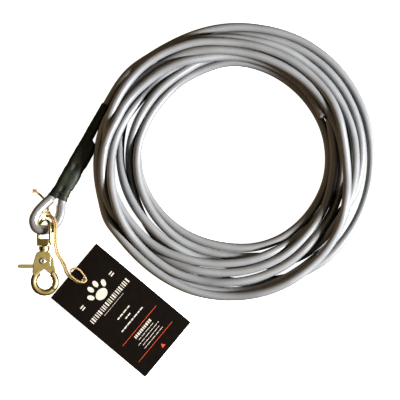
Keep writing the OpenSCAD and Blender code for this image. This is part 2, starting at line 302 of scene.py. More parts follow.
def push_apart(p, i, j):
    """Moves points of the line that pass into each other apart, both by half."""
    d = p[i] - p[j]
    length = np.linalg.norm(d, axis=1)
    hit = (length < TOUCH_D) & (length > 1e-6)
    i, j, d, length = i[hit], j[hit], d[hit], length[hit]
    push = (0.5 * (TOUCH_D - length) / length)[:, None] * d
    total = np.zeros_like(p)
    count = np.zeros(len(p))
    np.add.at(total, i, push)
    np.add.at(total, j, -push)
    np.add.at(count, i, 1)
    np.add.at(count, j, 1)
    return p + total / np.maximum(count, 1)[:, None] * PUSH_GAIN


def settled_coil():
    """Lets the planned coil down on to the table, with no turn passing into another."""
    plan = planned_coil()
    p = plan.copy()
    for step in range(SETTLE_STEPS):
        if step % NEAR_AGAIN_AFTER == 0:
            i, j = near_pairs(p, NEAR)
        p[:, 2] -= DROP if step < 0.75 * SETTLE_STEPS else LAST_DROP
        p[:, :2] += PULL_TO_PLAN * (plan[:, :2] - p[:, :2])
        for _ in range(3):
            p = push_apart(p, i, j)
            p[:, 2] = np.maximum(p[:, 2], LINE_R)
        moved = p - plan
        for _ in range(2):
            moved[1:-1] = 0.25 * moved[:-2] + 0.5 * moved[1:-1] + 0.25 * moved[2:]
        p = plan + moved
        p[:, 2] = np.maximum(p[:, 2], LINE_R)
        p[0] = plan[0]
    return p


def make_free_line():
    """The line from the sleeve to its cut end, and the path that it follows."""
    coil = settled_coil()
    # the first stretch comes straight out of the sleeve
    start = np.array([sleeve_point(-LINE_OFF, SLEEVE_LEN + a) for a in (-6.0, 0.0, 4.0)])
    start[2][2] -= 0.1
    skip = 4
    lead = smooth_path(np.vstack([start, coil[skip : skip + 3]]), LINE_STEP / 2)
    path = np.vstack([lead[:-3], coil[skip:]])
    path = even_path(path, LINE_STEP / 2)
    # the sharp corners that the even steps leave are eased
    for _ in range(6):
        path[1:-1] = 0.25 * path[:-2] + 0.5 * path[1:-1] + 0.25 * path[2:]
    line = add_tube("free_line", path, LINE_R, 20)
    return line, path


free_line, free_path = make_free_line()
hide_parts("leash_coil", "leash_lead")
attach(free_line, "leash")
print("free line", round(path_length(free_path)), "mm, top", round(float(free_path[:, 2].max()) + LINE_R, 1))

# ---- materials ----


def linear(rgb):
    """An sRGB colour, 0 to 255, as linear light."""
    out = []
    for c in rgb:
        c /= 255.0
        out.append(c / 12.92 if c <= 0.04045 else ((c + 0.055) / 1.055) ** 2.4)
    return (*out, 1.0)


class Finish:
    """A procedural material: mottled colour, uneven roughness and a fine bump, in the piece's own space."""

    def __init__(self, name, dark, light, scale, stretch=(1, 1, 1), **sockets):
        self.material = bpy.data.materials.new(name)
        self.material.use_nodes = True
        self.tree = self.material.node_tree
        self.shader = self.tree.nodes["Principled BSDF"]
        for key, value in sockets.items():
            self.shader.inputs[key.replace("_", " ").title().replace("Ior", "IOR")].default_value = value
        place = self.tree.nodes.new("ShaderNodeTexCoord")
        mapping = self.tree.nodes.new("ShaderNodeMapping")
        mapping.inputs["Scale"].default_value = stretch
        self.link(place.outputs["Object"], mapping.inputs["Vector"])
        self.place = mapping.outputs["Vector"]
        self.uv = place.outputs["UV"]
        self.last_bump = None
        noise_out = self.noise(scale)
        ramp = self.tree.nodes.new("ShaderNodeValToRGB")
        ramp.color_ramp.elements[0].position = 0.3
        ramp.color_ramp.elements[1].position = 0.7
        ramp.color_ramp.elements[0].color = linear(dark)
        ramp.color_ramp.elements[1].color = linear(light)
        self.link(noise_out, ramp.inputs["Fac"])
        self.link(ramp.outputs["Color"], self.shader.inputs["Base Color"])

    def link(self, a, b):
        self.tree.links.new(a, b)

    def noise(self, scale, detail=3.0, place=None):
        node = self.tree.nodes.new("ShaderNodeTexNoise")
        node.inputs["Scale"].default_value = scale
        node.inputs["Detail"].default_value = detail
        self.link(place or self.place, node.inputs["Vector"])
        return node.outputs["Fac"]

    def uneven_gloss(self, scale, low, high):
        spread = self.tree.nodes.new("ShaderNodeMapRange")
        spread.inputs["From Min"].default_value = 0.3
        spread.inputs["From Max"].default_value = 0.7
        spread.inputs["To Min"].default_value = low
        spread.inputs["To Max"].default_value = high
        self.link(self.noise(scale), spread.inputs["Value"])
        self.link(spread.outputs["Result"], self.shader.inputs["Roughness"])

    def bump(self, scale, height, detail=3.0, source=None):
        """Adds a bump of the given height in millimetres; bumps stack."""
        node = self.tree.nodes.new("ShaderNodeBump")
        node.inputs["Distance"].default_value = height * MM
        self.link(source or self.noise(scale, detail), node.inputs["Height"])
        if self.last_bump:
            self.link(self.last_bump, node.inputs["Normal"])
        self.last_bump = node.outputs["Normal"]
        self.link(self.last_bump, self.shader.inputs["Normal"])

    def ribs(self, scale, direction="X", distortion=1.0):
        """Fine lines across the piece's texture coordinates, as a source for a bump."""
        node = self.tree.nodes.new("ShaderNodeTexWave")
        node.bands_direction = direction
        node.inputs["Scale"].default_value = scale
        node.inputs["Distortion"].default_value = distortion
        self.link(self.uv, node.inputs["Vector"])
        return node.outputs["Fac"]


def set_finish(finish, *objects):
    for obj in objects:
        obj.data.materials.clear()
        obj.data.materials.append(finish.material)


line_coat = Finish("line_coat", (131, 132, 131), (141, 142, 141), 60, roughness=0.42, coat_weight=0.12)
line_coat.uneven_gloss(250, 0.36, 0.5)
line_coat.bump(900, 0.012)
line_coat.bump(90, 0.05)

line_core = Finish("line_core", (196, 194, 190), (228, 226, 222), 1500, roughness=0.9)
line_core.bump(2500, 0.1)

shrink_film = Finish("shrink_film", (33, 37, 30), (58, 63, 53), 90, roughness=0.5, specular_ior_level=0.35)
shrink_film.uneven_gloss(300, 0.48, 0.66)
shrink_film.bump(700, 0.02)
shrink_film.bump(160, 0.08, 4.0)

thimble_metal = Finish("thimble_metal", (232, 232, 222), (246, 246, 236), 300, metallic=1.0, roughness=0.2)
thimble_metal.uneven_gloss(900, 0.32, 0.46)
thimble_metal.bump(1200, 0.006)

ferrule_metal = Finish("ferrule_metal", (180, 180, 184), (200, 200, 204), 300, metallic=1.0, roughness=0.35)
ferrule_metal.bump(900, 0.02)

hook_plating = Finish("hook_plating", (212, 196, 154), (232, 217, 178), 160, metallic=1.0, roughness=0.15)
hook_plating.uneven_gloss(600, 0.1, 0.22)
hook_plating.bump(500, 0.02)
hook_plating.bump(3500, 0.002)

rivet_metal = Finish("rivet_metal", (200, 198, 192), (222, 220, 214), 500, metallic=1.0, roughness=0.25)
rivet_metal.uneven_gloss(1500, 0.18, 0.34)
rivet_metal.bump(2500, 0.004)

spring_wire = Finish("spring_wire", (150, 150, 152), (182, 182, 184), 900, metallic=1.0, roughness=0.25)
spring_wire.bump(3000, 0.004)

tag_card = Finish("tag_card", (16, 10, 5), (25, 17, 9), 220, roughness=0.6, specular_ior_level=0.2)
tag_card.uneven_gloss(600, 0.48, 0.62)
tag_card.bump(1800, 0.015, 5.0)
tag_card.bump(260, 0.03)

tag_ink = Finish("tag_ink", (186, 180, 168), (214, 209, 198), 1500, roughness=0.6)
tag_ink.bump(3000, 0.004)

rule_ink = Finish("rule_ink", (196, 74, 44), (216, 92, 56), 1500, roughness=0.6)
rule_ink.bump(3000, 0.004)

jute_twine = Finish("jute_twine", (160, 134, 82), (216, 193, 138), 900, roughness=0.85, sheen_weight=0.3)
jute_twine.uneven_gloss(1500, 0.75, 0.95)
jute_twine.bump(0, 0.05, source=jute_twine.ribs(6.0, "DIAGONAL", 3.0))
jute_twine.bump(4000, 0.05)

# the cut end shows the line's core
core_end = np.array([free_path[-2], free_path[-1], free_path[-1] + 0.25 * (free_path[-1] - free_path[-2])])
line_end = add_tube("line_core", core_end, 0.62 * LINE_R, 20)
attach(line_end, "leash")
set_finish(line_coat, free_line)
set_finish(line_core, line_end)
set_finish(ferrule_metal, frame["nodes"]["ferrule_lower"], frame["nodes"]["ferrule_upper"])

# ---- the eye ----
EYE_SLOPE = 0.114
SLEEVE_FREE_AT = 8.0
EYE_POINTS = [
    (-9.7, 1.1), (-14.8, -3.8), (-18.8, -8.2), (-21.2, -12.4), (-21.9, -15.3), (-21.4, -18.2), (-20.1, -20.6),
    (-17.9, -21.9), (-14.2, -22.5), (-10.3, -21.6), (-6.5, -19.0), (-4.1, -15.7), (-2.8, -12.4), (-2.0, -8.0),
    (-1.7, -2.3),
]


def eye_z(y):
    """The flat eye sinks from the hook to the sleeve."""
    return max(SLEEVE_Z, HOOK_Z - (y - EYE_BOTTOM_Y) * EYE_SLOPE)


def eye_path():
    down = [sleeve_point(-LINE_OFF, a) for a in (60.0, 40.0, 22.0, SLEEVE_FREE_AT)]
    around = [(x, y, eye_z(y)) for x, y in EYE_POINTS]
    up = [sleeve_point(LINE_OFF, a) for a in (6.0, 14.0, 26.0, TAIL_LEN - 0.5)]
    return smooth_path(down + around + up, 0.8)


eye_line_path = eye_path()
eye_line = add_tube("eye_line", eye_line_path, LINE_R - 0.02, 28)
set_finish(line_coat, eye_line)
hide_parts("eye_cord")
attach(eye_line, "leash")

THIMBLE_IN_R = LINE_R + 0.05
THIMBLE_HALF = math.radians(64.0)
THIMBLE_EDGE, THIMBLE_CROWN = 0.3, 0.45
EYE_MIDDLE = np.array([-12.2, -12.0, 0.0])
# how far from the eye's middle the thimble reaches, and where its two legs end
THIMBLE_REACH = 17.0
EYE_TOP_Y = 1.6
LEG_SPLIT_X = -6
LONG_LEG_Y, SHORT_LEG_Y = 0.8, -3.6


def thimble_section(count=9):
    """The trough's closed outline as angle and radius round the line; angle 0 points into the eye."""
    angles = np.linspace(-THIMBLE_HALF, THIMBLE_HALF, count)
    inner = [(a, THIMBLE_IN_R) for a in angles]
    outer = []
    for a in angles[::-1]:
        crown = math.cos(a / THIMBLE_HALF * 0.5 * math.pi) ** 0.8
        outer.append((a, THIMBLE_IN_R + THIMBLE_EDGE + THIMBLE_CROWN * crown))
    return inner + outer


def add_thimble():
    p = eye_line_path
    at = [
        i
        for i in range(len(p))
        if p[i][1] < EYE_TOP_Y and np.linalg.norm(p[i] - EYE_MIDDLE) < THIMBLE_REACH
    ]
    p = p[at[0] : at[-1] + 1]
    p = p[p[:, 1] < np.where(p[:, 0] < LEG_SPLIT_X, LONG_LEG_Y, SHORT_LEG_Y)]
    t = np.gradient(p, axis=0)
    t /= np.linalg.norm(t, axis=1)[:, None]
    up = np.array([0.0, 0.0, 1.0]) - t * t[:, 2:3]
    up /= np.linalg.norm(up, axis=1)[:, None]
    inward = np.cross(t, up)
    inward *= np.sign(((EYE_MIDDLE - p) * inward).sum(axis=1))[:, None]
    section = thimble_section()
    n = len(section)
    vertices = [
        tuple(p[i] + r * (math.cos(a) * inward[i] + math.sin(a) * up[i]))
        for i in range(len(p))
        for a, r in section
    ]
    faces = []
    for i in range(len(p) - 1):
        for j in range(n):
            k = (j + 1) % n
            faces.append((i * n + j, i * n + k, (i + 1) * n + k, (i + 1) * n + j))
    faces.append(tuple(range(n)))
    faces.append(tuple(range(len(p) * n - 1, (len(p) - 1) * n - 1, -1)))
    return add_mesh("thimble_trough", vertices, faces)


def outward(obj):
    """Turns every face outward."""
    mesh = bmesh.new()
    mesh.from_mesh(obj.data)
    bmesh.ops.recalc_face_normals(mesh, faces=mesh.faces)
    mesh.to_mesh(obj.data)
    mesh.free()


def crisp(obj, degrees=40.0):
    """Keeps edges sharper than this from being shaded as one smooth surface."""
    obj.data.set_sharp_from_angle(angle=math.radians(degrees))


thimble = add_thimble()
outward(thimble)
crisp(thimble)
set_finish(thimble_metal, thimble)
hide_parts("thimble")
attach(thimble, "leash")

# ---- the sleeve ----
SLEEVE_R = LINE_R + 0.5
CUFF_R = LINE_R + 0.36
PAIR_SHARPNESS = 6.0


def blend_step(x, low, high):
    """0 below low, 1 above high, smooth between."""
    s = min(max((x - low) / (high - low), 0.0), 1.0)
    return s * s * (3 - 2 * s)


def hump(x, middle, width):
    return math.exp(-(((x - middle) / width) ** 2))


# angles round a film, closer together where it crosses from one line to the other
RING_ANGLES = np.radians(
    np.concatenate([
        np.linspace(-78, 78, 27),
        np.linspace(80, 100, 11),
        np.linspace(102, 258, 27),
        np.linspace(260, 280, 11),
    ])
)
SINK_WIDTH = 1.3


def sleeve_ring(along, half_gap, centre, radius, dip, swell=0.0):
    """A film drawn tight round two lines side by side and sunk by dip between them."""
    ring = []
    for a in RING_ANGLES:
        off = half_gap * math.tanh(PAIR_SHARPNESS * math.cos(a)) + radius * math.cos(a)
        up = radius * math.sin(a) - math.copysign(dip * hump(off, 0.0, SINK_WIDTH), math.sin(a))
        ring.append((centre + off + swell * max(math.cos(a), 0.0) ** 2, along, up))
    return ring


def loft(name, rings):
    """Skins rings of (side, along, up) in the sleeve's frame."""
    n = len(rings[0])
    vertices = [sleeve_point(*point) for ring in rings for point in ring]
    faces = []
    for i in range(len(rings) - 1):
        for j in range(n):
            k = (j + 1) % n
            faces.append((i * n + j, i * n + k, (i + 1) * n + k, (i + 1) * n + j))
    obj = add_mesh(name, vertices, faces)
    outward(obj)
    return obj


def wrinkled(ring, amount, scale, seed):
    """Lifts a ring's points by slow noise."""
    centre = np.mean([(s, u) for s, _, u in ring], axis=0)
    out = []
    for side, along, up in ring:
        n = noise.noise(Vector((side * scale, along * scale * 0.8, up * scale + seed)))
        n += 0.5 * noise.noise(Vector((side * scale * 2.4, along * scale * 2.4, up * scale * 2.4 - seed)))
        n = max(n + 0.4, 0.0)
        d = np.array([side, up]) - centre
        d /= np.linalg.norm(d)
        out.append((side + d[0] * amount * n, along, up + d[1] * amount * n))
    return out


FERRULES = [(12.0, 21.0), (30.0, 39.0)]
FERRULE_EDGE = 0.2
FERRULE_SLOPE = 3.5
SPUR_AT = 46.2
OUTER_FROM = 4.3
CUFF_FROM, CUFF_TO = 0.5, 8.0
# the outer film narrows from two lines to one between these
PAIR_END, SINGLE_FROM = 43.5, 49.5


def in_sleeve(p):
    """Side and along, in the sleeve's frame, of points in the object's frame."""
    d = p[:, :2] - SLEEVE_FOOT
    return d @ SLEEVE_SIDE, d @ SLEEVE_DIR


def half_gap_at(along):
    """Half the distance between the line and its tail, which part company below the sleeve."""
    side, at = in_sleeve(eye_line_path)
    low, tail = side < 0, side > 0
    order_low, order_tail = np.argsort(at[low]), np.argsort(at[tail])
    return 0.5 * (
        float(np.interp(along, at[tail][order_tail], side[tail][order_tail]))
        - float(np.interp(along, at[low][order_low], side[low][order_low]))
    )


def over_ferrule(along):
    """1 where the film lies over a ferrule, 0 between them."""
    cover = 0.0
    for a, b in FERRULES:
        rise = blend_step(along, a - FERRULE_SLOPE, a - FERRULE_EDGE)
        fall = blend_step(along, b + FERRULE_EDGE, b + FERRULE_SLOPE)
        cover = max(cover, rise * (1 - fall))
    return cover


def outer_ring(along, shrink=0.0):
    pair = 1 - blend_step(along, PAIR_END, SINGLE_FROM)
    # the film is stretched to a point where the tail ends
    spur = 3.0 * hump(along, SPUR_AT, 1.2)
    over = over_ferrule(along)
    mouth = 0.3 * (1 - blend_step(along, OUTER_FROM, OUTER_FROM + 1.5))
    half_gap = half_gap_at(along) if along < 12.0 else LINE_OFF
    ring = sleeve_ring(
        along,
        half_gap * pair,
        -LINE_OFF * (1 - pair),
        SLEEVE_R + mouth - shrink + 0.18 * over,
        pair * (0.9 - 0.8 * over) * blend_step(along, OUTER_FROM - 1, OUTER_FROM + 3),
        swell=0.3 * over + spur,
    )
    # the film leans a little up to the line's side at its lower end
    lean = 0.1 * (1 - blend_step(along, OUTER_FROM, 12.0))
    ring = [(side, at + lean * side, up) for side, at, up in ring]
    return ring if shrink else wrinkled(ring, 0.22, 0.3, 3.0)


def cuff_ring(along, shrink=0.0):
    flare = 1 - blend_step(along, CUFF_FROM, 5.0)
    ring = sleeve_ring(along, half_gap_at(along), 0.0, CUFF_R - shrink, 0.9 - 0.4 * flare)
    return [(side, at + 0.12 * side * flare, up) for side, at, up in ring]


def add_sleeve(name, ring_at, start, end, step=0.4):
    """A film from start to end, turned in at both ends so that it shows its thickness."""
    stops = np.arange(start, end + step / 2, step)
    rings = [ring_at(start + 2.5, 0.3), ring_at(start + 0.15, 0.2)]
    rings += [ring_at(a) for a in stops]
    rings += [ring_at(end + 0.05, 0.15), ring_at(end - 0.1, 0.3), ring_at(end - 2.5, 0.3)]
    return loft(name, rings)


outer_film = add_sleeve("sleeve_outer", outer_ring, OUTER_FROM, SLEEVE_LEN)
inner_film = add_sleeve("sleeve_cuff", cuff_ring, CUFF_FROM, CUFF_TO)
for film, node in ((outer_film, "outer_sleeve"), (inner_film, "inner_sleeve")):
    crisp(film, 50)
    set_finish(shrink_film, film)
    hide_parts(node)
    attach(film, "leash")

# ---- the tag ----
TAG_L, TAG_W, TAG_T = 87.0, 50.0, 0.45
TAG_HOLE_R = 1.8
TAG_HOLE_IN = 10.0
TAG_HOLE = joint_at("tag_turn")[:2]
TAG_TURNED = math.radians(39.8)
TAG_X = np.array([math.cos(TAG_TURNED), -math.sin(TAG_TURNED)])
TAG_Y = np.array([-TAG_X[1], TAG_X[0]])
TAG_RAISED = 1.35
TAG_LOW = 0.06
TAG_BEND_FROM, TAG_BEND_LEN = 4.0, 62.0


def tag_base(x):
    """The underside's height at x along the card: held up by the twine at the hole, flat at the far end."""
    s = min(max((x - TAG_BEND_FROM) / TAG_BEND_LEN, 0.0), 1.0)
    return TAG_LOW + (TAG_RAISED - TAG_LOW) * (1 - s) ** 2 * (1 + 0.15 * s)


def tag_point(x, y, above=0.0):
    """A point over the card: along it and across it from the hole, and above its top."""
    flat = TAG_HOLE + TAG_X * x + TAG_Y * y
    return (flat[0], flat[1], tag_base(x) + TAG_T + above)


class Sheet:
    """Vertices shared by place, for surfaces laid out on the card."""

    def __init__(self):
        self.index, self.places, self.faces = {}, [], []

    def vertex(self, x, y):
        key = (round(x, 3), round(y, 3))
        if key not in self.index:
            self.index[key] = len(self.places)
            self.places.append((x, y))
        return self.index[key]

    def face(self, *corners):
        self.faces.append([self.vertex(*c) for c in corners])

    def bar(self, x0, x1, y0, y1, step=4.0):
        """A rectangle, in cells along the card's width."""
        count = max(1, int(round(abs(y1 - y0) / step)))
        ys = np.linspace(y0, y1, count + 1)
        for a, b in zip(ys[:-1], ys[1:]):
            self.face((x0, a), (x1, a), (x1, b), (x0, b))

    def disc(self, x, y, rx, ry, turn=0.0, sides=24):
        """An ellipse, as a ring of triangles round its middle."""
        c, s = math.cos(turn), math.sin(turn)
        rim = []
        for k in range(sides):
            a = 2 * math.pi * k / sides
            dx, dy = rx * math.cos(a), ry * math.sin(a)
            rim.append((x + c * dx - s * dy, y + s * dx + c * dy))
        for k in range(sides):
            self.face((x, y), rim[k], rim[(k + 1) % sides])

    def slab(self, name, top, thickness):
        """A closed piece: the sheet, its underside and the walls round its edges."""
        n = len(self.places)
        vertices = [tag_point(x, y, top) for x, y in self.places]
        vertices += [tag_point(x, y, top - thickness) for x, y in self.places]
        faces = [tuple(f) for f in self.faces] + [tuple(n + i for i in reversed(f)) for f in self.faces]
        edges = {}
        for f in self.faces:
            for a, b in zip(f, f[1:] + f[:1]):
                edges[(a, b)] = (b, a) in edges or edges.get((a, b), False)
                if (b, a) in edges:
                    edges[(b, a)] = True
        faces += [(b, a, n + a, n + b) for (a, b), shared in edges.items() if not shared]
        obj = add_mesh(name, vertices, faces)
        outward(obj)
        crisp(obj, 30)
        return obj


def card_sheet():
    """The card's outline with its hole, in cells that can follow the bend."""
    sheet = Sheet()
    near = TAG_HOLE_IN
    cells = 8
    square = np.linspace(-near, near, cells + 1)
    xs = np.concatenate([square, np.linspace(near, TAG_L - near, 28)[1:]])
    ys = np.concatenate([np.linspace(-TAG_W / 2, -near, 7)[:-1], square, np.linspace(near, TAG_W / 2, 7)[1:]])
    for x0, x1 in zip(xs[:-1], xs[1:]):
        for y0, y1 in zip(ys[:-1], ys[1:]):
            if x1 > near + 0.01 or abs(y0 + y1) / 2 > near:
                sheet.face((x0, y0), (x1, y0), (x1, y1), (x0, y1))
    # rings from the hole to the square round it
    rim = [(near, y) for y in square[:-1]] + [(x, near) for x in square[:0:-1]]
    rim += [(-near, y) for y in square[:0:-1]] + [(x, -near) for x in square[:-1]]
    loops = []
    for s in (0.0, 0.12, 0.4, 1.0):
        loop = []
        for x, y in rim:
            a = math.atan2(y, x)
            hole = (TAG_HOLE_R * math.cos(a), TAG_HOLE_R * math.sin(a))
            loop.append((hole[0] * (1 - s) + x * s, hole[1] * (1 - s) + y * s))
        loops.append(loop)
    for inner, outer in zip(loops[:-1], loops[1:]):
        for k in range(len(rim)):
            m = (k + 1) % len(rim)
            sheet.face(inner[k], outer[k], outer[m], inner[m])
    return sheet


PRINT_UP, PRINT_SUNK = 0.035, 0.02
card = card_sheet().slab("tag_card", 0.0, TAG_T)
set_finish(tag_card, card)
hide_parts("hang_tag")


def from_edge(u):
    """Along the card, from its edge by the hole."""
    return u - TAG_HOLE_IN


def light_print():
    """The pale print: a paw, two marks, a title and lines of text as plain strokes."""
    sheet = Sheet()
    # a paw
    sheet.disc(from_edge(25.9), 0.0, 3.6, 4.9)
    for y, u, turn in ((-6.9, 21.8, 0.5), (-2.6, 18.0, 0.15), (2.6, 18.0, -0.15), (6.9, 21.8, -0.5)):
        sheet.disc(from_edge(u), y, 2.7, 1.75, turn)
    # a pair of short marks on each side of it
    for u, y in ((22.0, -16.0), (22.0, 15.4)):
        for k in (-1, 1):
            sheet.bar(from_edge(u + k * 0.9 - 0.5), from_edge(u + k * 0.9 + 0.5), y - 1.6, y + 1.6)
    # title, set as strokes of uneven width
    y = -19.9
    for k in range(22):
        width = (0.8, 1.3, 0.6, 1.0)[k % 4]
        sheet.bar(from_edge(31.6), from_edge(35.4), y, y + width)
        y += width + (0.9, 0.7, 1.1)[k % 3]
    sheet.bar(from_edge(37.1), from_edge(37.4), -10.5, 10.5)
    for u, half in ((46.2, 6.6), (50.0, 2.6), (54.0, 11.4)):
        for y0, y1 in broken_line(-half, half, 2.9):
            sheet.bar(from_edge(u - 0.5), from_edge(u + 0.5), y0, y1)
    for y0, y1 in broken_line(-8.6, 8.6, 1.2):
        sheet.bar(from_edge(62.8), from_edge(65.0), y0, y1)
    for u, half in ((66.9, 8.0), (69.2, 11.0), (71.5, 9.0), (73.8, 10.0)):
        for y0, y1 in broken_line(-half, half, 3.6):
            sheet.bar(from_edge(u - 0.25), from_edge(u + 0.25), y0, y1)
    return sheet


def broken_line(start, end, word):
    """Splits a line into words of uneven length with small gaps."""
    at, out, k = start, [], 0
    while at < end - 0.6:
        long = word * (0.75 + 0.5 * ((k * 7) % 5) / 4)
        out.append((at, min(at + long, end)))
        at += long + 0.55
        k += 1
    return out


def rule_print():
    """The orange print: two rules and a small triangle."""
    sheet = Sheet()
    sheet.bar(from_edge(60.6), from_edge(61.0), -18.5, 18.5)
    sheet.bar(from_edge(76.5), from_edge(76.9), -20.0, 17.0)
    sheet.disc(from_edge(82.4), 0.0, 2.0, 2.0, math.pi, sides=3)
    return sheet


tag_prints = [
    (light_print().slab("tag_print", PRINT_UP, PRINT_UP + PRINT_SUNK), tag_ink),
    (rule_print().slab("tag_rules", PRINT_UP, PRINT_UP + PRINT_SUNK), rule_ink),
]
for obj, finish in tag_prints:
    set_finish(finish, obj)
for obj in (card, *(obj for obj, _ in tag_prints)):
    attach(obj, "tag")

# ---- the hook ----


CAST_VOXEL = 0.2


def softened(node, name, passes):
    """A copy of a CAD node with its edges rounded as a casting's are."""
    source = frame["nodes"][node]
    obj = bpy.data.objects.new(name, source.data.copy())
    bpy.context.scene.collection.objects.link(obj)
    remesh = obj.modifiers.new("skin", "REMESH")
    remesh.mode = "VOXEL"
    remesh.voxel_size = CAST_VOXEL * MM
    smooth = obj.modifiers.new("soften", "SMOOTH")
    smooth.factor = 0.5
    smooth.iterations = passes
    evaluated = obj.evaluated_get(bpy.context.evaluated_depsgraph_get())
    mesh = bpy.data.meshes.new_from_object(evaluated)
    obj.modifiers.clear()
    obj.data = mesh
    for polygon in mesh.polygons:
        polygon.use_smooth = True
    return obj


def lathe(name, profile, place, sides=64):
    """Turns (radius, height) pairs round a vertical axis at place. They start and end on the axis."""
    vertices, faces = [], []
    for r, h in profile[1:-1]:
        for j in range(sides):
            a = 2 * math.pi * j / sides
            vertices.append((place[0] + r * math.cos(a), place[1] + r * math.sin(a), place[2] + h))
    rings = len(profile) - 2
    for i in range(rings - 1):
        for j in range(sides):
            k = (j + 1) % sides
            faces.append((i * sides + j, i * sides + k, (i + 1) * sides + k, (i + 1) * sides + j))
    for end, ring in ((profile[0], 0), (profile[-1], rings - 1)):
        vertices.append((place[0], place[1], place[2] + end[1]))
        tip = len(vertices) - 1
        faces += [(tip, ring * sides + j, ring * sides + (j + 1) % sides) for j in range(sides)]
    obj = add_mesh(name, vertices, faces)
    outward(obj)
    crisp(obj, 45)
    return obj


RIVET = joint_at("trigger_pull")
CHEEK_TOP = 3.05
RIVET_R, RIVET_HEAD_R, RIVET_HEAD_H = 1.5, 2.35, 0.7
RIVET_FLAT_R, RIVET_RIM_H = 1.05, 0.04


def rivet_profile():
    """A domed head with a punched dimple, the shank, and the same head below."""
    half = [(0.0, CHEEK_TOP + 0.42), (0.35, CHEEK_TOP + 0.43), (0.62, CHEEK_TOP + 0.6)]
    for k in range(9):
        a = math.radians(80 - 10 * k)
        r = RIVET_FLAT_R + (RIVET_HEAD_R - RIVET_FLAT_R) * math.cos(a)
        half.append((r, CHEEK_TOP + RIVET_RIM_H + (RIVET_HEAD_H - RIVET_RIM_H) * math.sin(a)))
    half += [(RIVET_HEAD_R, CHEEK_TOP), (RIVET_R, CHEEK_TOP), (RIVET_R, 0.4)]
    return half + [(r, -h) for r, h in reversed(half)]


rivet = lathe("rivet", rivet_profile(), RIVET)
set_finish(rivet_metal, rivet)
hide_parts("pivot_rivet")
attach(rivet, "hook")

SPRING_R, SPRING_WIRE_R, SPRING_TURNS = 2.35, 0.25, 2


def add_spring():
    low, high = node_box("return_spring")
    middle = (low + high) / 2
    turns = np.linspace(0, 2 * math.pi * SPRING_TURNS, 48 * SPRING_TURNS + 1)
    rise = (high[2] - low[2] - 2 * SPRING_WIRE_R) / (2 * math.pi * SPRING_TURNS)
    p = np.stack(
        [
            middle[0] + SPRING_R * np.cos(turns),
            middle[1] + SPRING_R * np.sin(turns),
            low[2] + SPRING_WIRE_R + rise * turns,
        ],
        1,
    )
    return add_tube("spring", p, SPRING_WIRE_R, 10)


spring = add_spring()
set_finish(spring_wire, spring)
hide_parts("return_spring")
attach(spring, "hook")

for node, name, body, passes in (
    ("swivel_bow", "bow", "bow", 5),
    ("snap_body", "hook_body", "hook", 6),
    ("trigger_jaw", "trigger", "trigger", 16),
):
    piece = softened(node, name, passes)
    set_finish(hook_plating, piece)
    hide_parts(node)
    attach(piece, body)

# ---- the twine ----
TWINE_TAIL = [
    (-19.9, 5.0, 0.8), (-17.0, 2.4, 0.7), (-14.4, -0.6, 0.7), (-12.7, -4.2, 0.7),
    (-12.1, -7.2, 0.9), (-11.9, -8.8, 1.6),
]
TWINE_KNOT = (-11.7, -10.6, 2.8)
TWINE_STRAND = [
    (-11.3, -11.8, 3.6), (-10.3, -12.8, 5.4), (-8.7, -14.0, 7.8), (-7.3, -16.0, 9.3), (-6.6, -18.6, 9.8),
    (-6.5, -21.0, 9.8), (-6.7, -26.0, 7.6), (-6.8, -32.0, 4.0), (-5.6, -38.0, 1.9), (-3.4, -42.5, 1.3),
    (-0.9, -46.5, 1.2), (0.2, -49.6, 1.2),
]
TWINE_SHIFT = np.array([1.25, 0.55, 0.0])
# along the card, across it and up from the table, from the middle of the hole
TWINE_RING = [
    (-12.7, -4.9, 1.8), (-10.0, -5.3, 2.6), (-6.0, -5.2, 2.5), (-2.2, -4.1, 2.6), (-0.2, -1.6, 2.3),
    (-0.3, -0.1, 1.4), (-2.0, -0.4, 0.75), (-6.0, -1.6, 0.72), (-9.6, -2.0, 0.75), (-11.4, -1.6, 1.6),
    (-11.2, 0.3, 2.4),
    (-9.6, 2.3, 2.7), (-6.6, 3.0, 2.7), (-3.0, 2.3, 2.7), (-0.2, 1.5, 2.7), (1.2, 0.6, 2.8), (1.2, -1.2, 3.0),
    (-1.0, -3.0, 3.7), (-5.0, -4.0, 3.7), (-9.2, -4.0, 3.2), (-12.1, -3.4, 2.0),
]
TWINE_END = [(-12.2, -10.8, 4.2), (-13.3, -10.4, 5.2), (-14.6, -9.8, 6.0)]
PLY_R, PLY_OFF, PLY_PITCH, PLY_SIDES = 0.46, 0.3, 3.4, 7


def twine_path():
    """One length: tail, knot, down to the card, round through its hole, back, and the other end."""
    ring = [(*(TAG_HOLE + TAG_X * x + TAG_Y * y), z) for x, y, z in TWINE_RING]
    back = [tuple(np.array(p) + TWINE_SHIFT) for p in reversed(TWINE_STRAND)]
    return smooth_path(TWINE_TAIL + [TWINE_KNOT] + TWINE_STRAND + ring + back + TWINE_END, 0.3)


def plies(p):
    """Two yarns laid round each other along a path."""
    _, side, up = path_frames(p)
    at = np.r_[0, np.cumsum(np.linalg.norm(np.diff(p, axis=0), axis=1))]
    parts, uvs = [], []
    for phase in (0.0, math.pi):
        a = 2 * math.pi * at / PLY_PITCH + phase
        yarn = p + PLY_OFF * (np.cos(a)[:, None] * side + np.sin(a)[:, None] * up)
        vertices, faces, uv = tube_data(yarn, PLY_R, PLY_SIDES)
        parts.append((vertices, faces))
        uvs += uv
    vertices, faces = joined(parts)
    return vertices, faces, uvs


def fibre(start, direction, length, radius, bend, sides=5):
    """One loose fibre, curving away and tapering."""
    direction = direction / np.linalg.norm(direction)
    t = np.linspace(0, 1, 5)[:, None]
    p = start + direction * length * t + bend * t**2
    p[:, 2] = np.maximum(p[:, 2], radius + 0.02)
    vertices, faces, _ = tube_data(p, radius * (1 - 0.6 * t[:, 0]), sides)
    return vertices, faces


